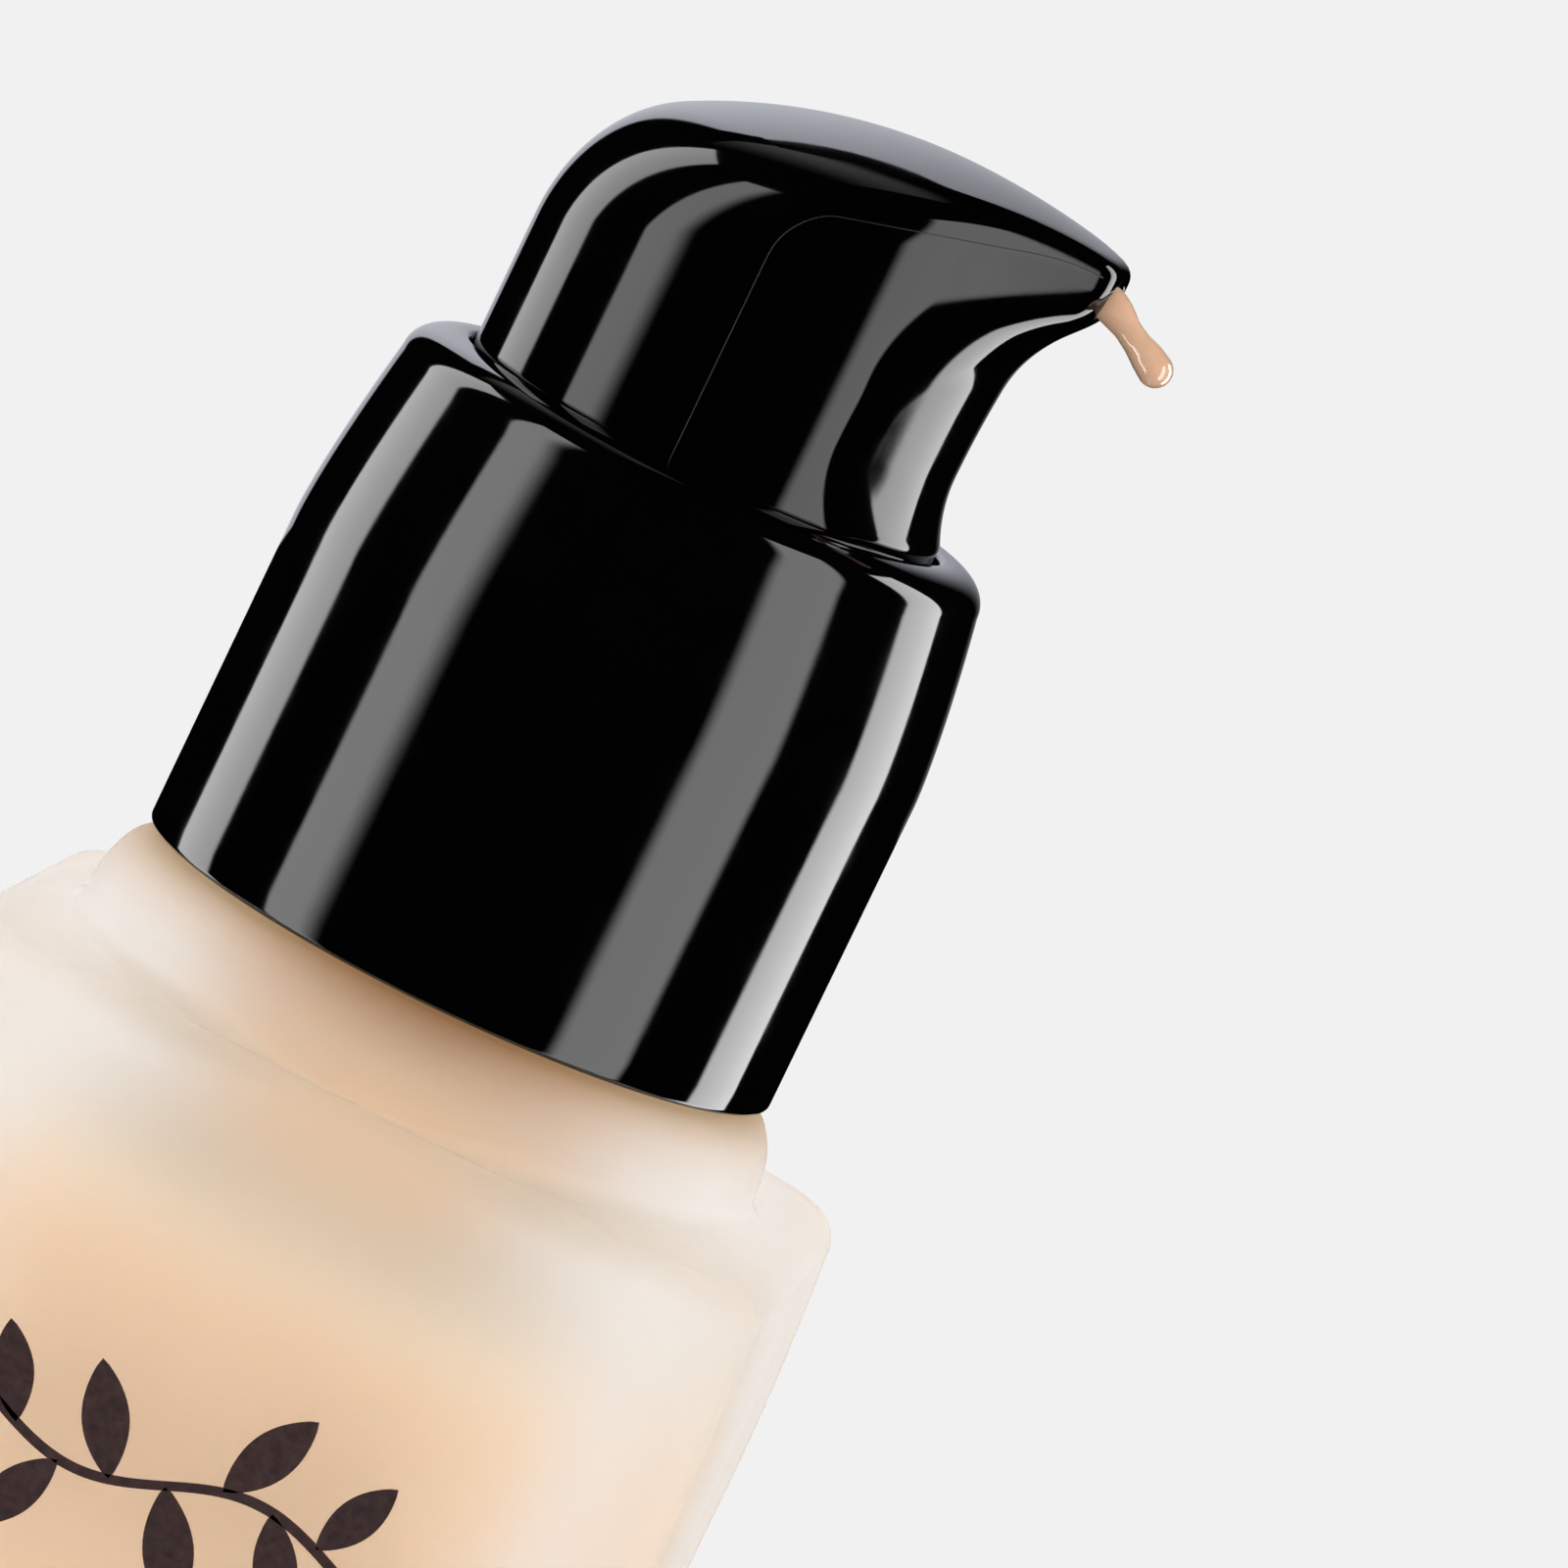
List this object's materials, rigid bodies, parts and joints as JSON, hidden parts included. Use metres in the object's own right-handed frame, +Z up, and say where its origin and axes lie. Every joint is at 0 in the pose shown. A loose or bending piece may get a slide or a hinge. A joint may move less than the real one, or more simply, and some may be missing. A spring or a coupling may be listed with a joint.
{
  "type": "foundation bottle",
  "caption": "Square frosted-glass foundation bottle with a screw-on lotion pump: glossy black barrel collar and swivelling press-down spout with a bead of product at its tip.",
  "frame": {"origin": "centre of the base, on the surface that the bottle stands on", "axes": "+Z up along the pump's axis; -Y is the printed front; +X is the right-hand side, which the spout faces"},
  "size_m": [0.0374, 0.0349, 0.1047],
  "materials": {
    "frosted_glass": "acid-etched satin outside, clear inside",
    "foundation": "creamy liquid, peach beige, wet sheen",
    "print_ink": "dark brown fired screen print",
    "gasket_foam": "foamed polyethylene, matt",
    "pump_plastic": "natural polypropylene, satin",
    "seal_plastic": "soft polyethylene",
    "tube_plastic": "translucent extruded tube",
    "valve_steel": "polished steel ball",
    "spring_steel": "drawn stainless wire",
    "closure_plastic": "moulded, satin black",
    "gloss_black": "high-gloss black, fine parting line"
  },
  "bodies": {
    "bottle": {"glass_bottle": "frosted_glass", "foundation_liquid": "foundation", "front_print": "print_ink"},
    "pump": {"pump_housing": "pump_plastic", "neck_gasket": "gasket_foam", "stem_gland": "pump_plastic", "dip_tube": "tube_plastic"},
    "closure": {"screw_closure": "closure_plastic", "outer_collar": "gloss_black"},
    "inlet_valve": {"inlet_ball": "valve_steel"},
    "plunger": {"plunger_rod": "pump_plastic", "return_spring": "spring_steel"},
    "piston_seal": {"piston": "seal_plastic"},
    "head": {"stem": "pump_plastic", "actuator_core": "pump_plastic", "actuator_shell": "gloss_black", "nozzle_insert": "closure_plastic", "product_drop": "foundation"}
  },
  "joints": [
    {"name": "pump_lift", "type": "slide", "parent": "bottle", "child": "pump", "axis": [0, 0, 1], "range_m": [0, 0.00375]},
    {"name": "closure_unscrew", "type": "hinge", "parent": "pump", "child": "closure", "pos_m": [0, 0, 0.0745], "axis": [0, 0, 1], "range_deg": [0, 450]},
    {"name": "inlet_ball_lift", "type": "slide", "parent": "pump", "child": "inlet_valve", "axis": [0, 0, 1], "range_m": [0, 0.001]},
    {"name": "actuator_press", "type": "slide", "parent": "pump", "child": "plunger", "axis": [0, 0, -1], "range_m": [0, 0.0042], "stiffness_N_per_m": 1500, "springref_m": -0.0015, "deforming": ["return_spring"]},
    {"name": "outlet_valve_open", "type": "slide", "parent": "plunger", "child": "piston_seal", "axis": [0, 0, 1], "range_m": [0, 0.0007]},
    {"name": "actuator_swivel", "type": "hinge", "parent": "plunger", "child": "head", "pos_m": [0, 0, 0.0895], "axis": [0, 0, 1], "continuous": true}
  ],
  "couplings": [
    {"joint": "closure_unscrew", "follows": "pump_lift", "rad_per_m": 2094.4}
  ]
}
